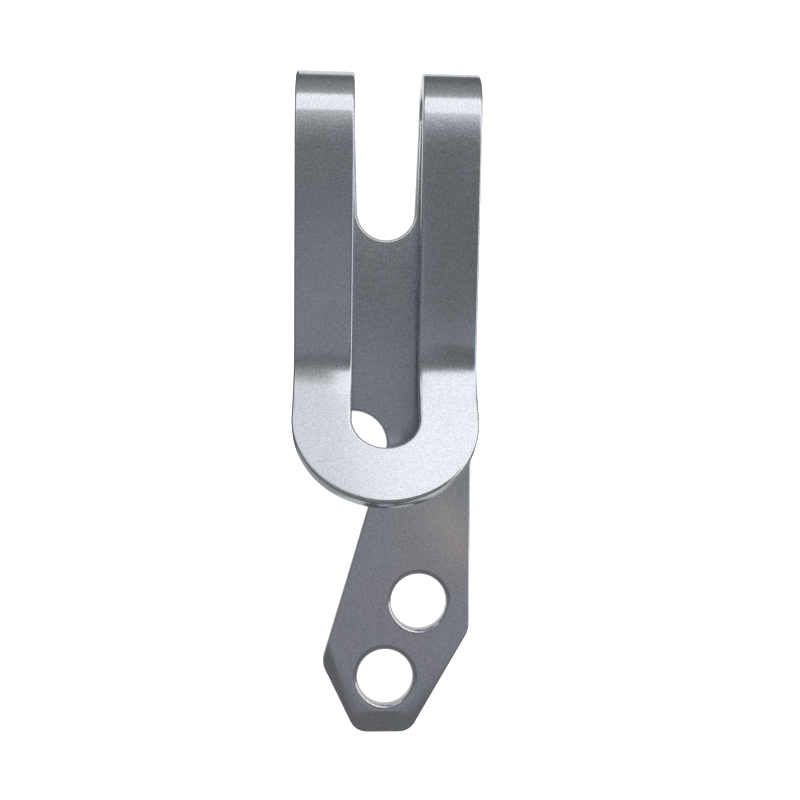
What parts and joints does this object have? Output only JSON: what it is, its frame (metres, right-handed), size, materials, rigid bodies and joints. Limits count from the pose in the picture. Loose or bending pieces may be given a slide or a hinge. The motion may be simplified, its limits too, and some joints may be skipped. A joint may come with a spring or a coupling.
{
  "type": "money clip",
  "caption": "Folded spring-sheet money clip with a slotted, flared front loop, a hook notch and a tapered key-ring tail.",
  "frame": {"origin": "middle of the clip's outline, on the plane of the back plate's back face", "axes": "+X to the right seen from the front, +Y along the clip towards the fold, +Z out of the back plate towards the flared front lip"},
  "size_m": [0.019, 0.0705, 0.0132],
  "materials": {
    "satin_steel": "fine tumbled satin stainless steel with softly rounded bright edges"
  },
  "bodies": {
    "back": {"back_plate": "satin_steel", "key_tail": "satin_steel", "left_fold": "satin_steel", "right_fold": "satin_steel"},
    "front": {"left_arm": "satin_steel", "right_arm": "satin_steel", "lip": "satin_steel"}
  },
  "joints": [
    {"name": "front_opens", "type": "hinge", "parent": "back", "child": "front", "pos_m": [0, 0.03105, 0.0042], "axis": [-1, 0, 0], "range_deg": [0, 6], "stiffness_Nm_per_rad": 30, "deforming": ["left_fold", "right_fold"]}
  ]
}
